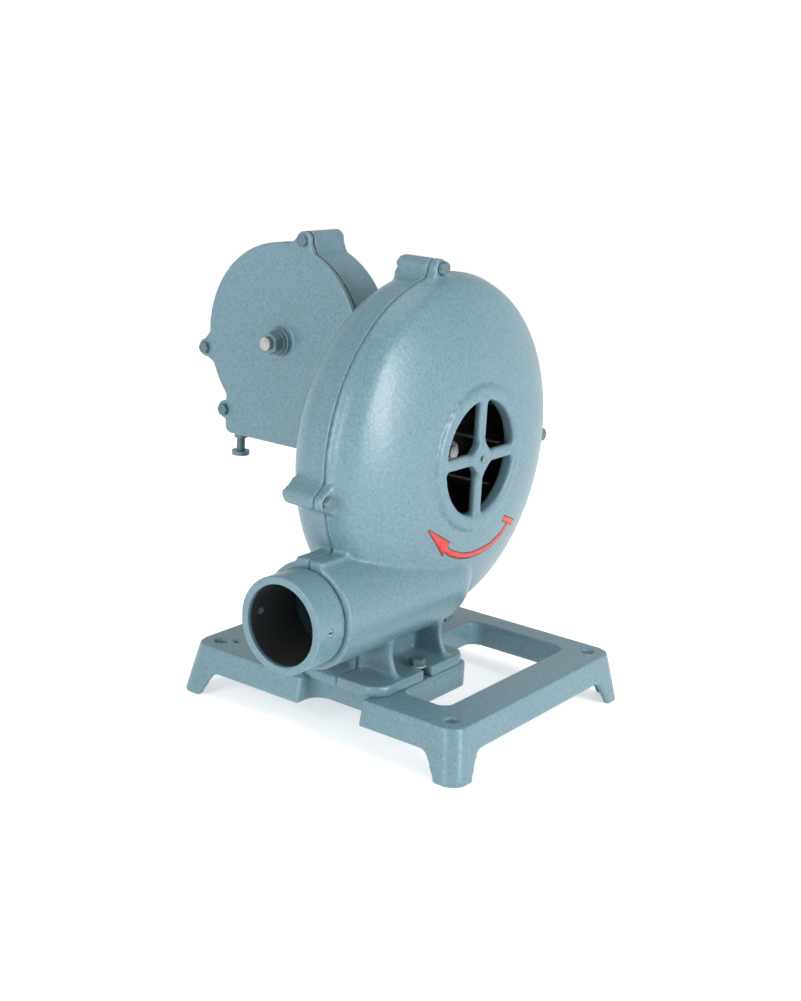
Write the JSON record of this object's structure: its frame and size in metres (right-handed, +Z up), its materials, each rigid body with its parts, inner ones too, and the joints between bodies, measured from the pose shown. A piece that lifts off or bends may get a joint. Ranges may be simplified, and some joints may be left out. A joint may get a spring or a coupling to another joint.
{
  "type": "hand crank forge blower",
  "caption": "Hand crank centrifugal blower: split round fan casing on a four-legged base, side inlet, horizontal outlet, enclosed worm drive with a crank.",
  "frame": {"origin": "centre of the base bolt pattern, on the top face of the deck", "axes": "-X out of the outlet, -Y out of the inlet along the fan shaft, +Z up"},
  "size_m": [0.4981, 0.4025, 0.4095],
  "materials": {
    "hammertone_casting": "hammertone blue-grey paint",
    "hammertone_forging": "blue-grey paint",
    "blackened_steel": "blackened, slightly rusty",
    "bronze": "machined",
    "seal_rubber": "matte",
    "gasket_fibre": "matte",
    "bare_steel": "turned",
    "fan_aluminium": "dull",
    "grip_wood": "oiled"
  },
  "bodies": {
    "frame": {"base_frame": "hammertone_casting", "housing_front": "hammertone_casting", "housing_rear": "hammertone_casting", "outlet_nozzle": "hammertone_casting", "gear_case": "hammertone_casting", "gear_cover": "hammertone_casting", "cover_gasket": "gasket_fibre", "shaft_seal": "seal_rubber", "thrust_plug": "blackened_steel", "fan_bush_front": "bronze", "fan_bush_rear": "bronze", "crank_bush_cover": "bronze", "crank_bush_case": "bronze", "drain_plug": "blackened_steel", "drain_washer": "gasket_fibre", "casing_bolts": "blackened_steel", "neck_bolts": "blackened_steel", "neck_nuts": "blackened_steel", "foot_bolts": "blackened_steel", "foot_washers": "blackened_steel", "foot_nuts": "blackened_steel", "cover_screws": "blackened_steel", "nozzle_set_screws": "blackened_steel"},
    "fan": {"fan_shaft": "bare_steel", "fan_key": "bare_steel", "fan_hub": "fan_aluminium", "fan_plate": "fan_aluminium", "fan_blades": "fan_aluminium", "fan_rivets": "fan_aluminium", "fan_washer": "bare_steel", "fan_nut": "bare_steel"},
    "crank": {"crank_shaft": "bare_steel", "worm_wheel": "bronze", "wheel_key": "bare_steel", "crank_end_washer": "bare_steel", "crank_end_nut": "bare_steel", "crank_arm": "hammertone_forging", "arm_pin": "bare_steel", "grip_pin": "bare_steel", "grip_nut": "bare_steel"},
    "grip": {"grip": "grip_wood"}
  },
  "joints": [
    {"name": "crank_turn", "type": "hinge", "parent": "frame", "child": "crank", "pos_m": [0.006, 0.1465, 0.2615], "axis": [-1, 0, 0], "continuous": true},
    {"name": "fan_spin", "type": "hinge", "parent": "frame", "child": "fan", "pos_m": [0.006, -0.015, 0.188], "axis": [0, 1, 0], "continuous": true},
    {"name": "grip_spin", "type": "hinge", "parent": "crank", "child": "grip", "pos_m": [0.246, 0.1465, 0.0615], "axis": [1, 0, 0], "continuous": true}
  ],
  "couplings": [
    {"joint": "fan_spin", "follows": "crank_turn", "ratio": 25}
  ]
}
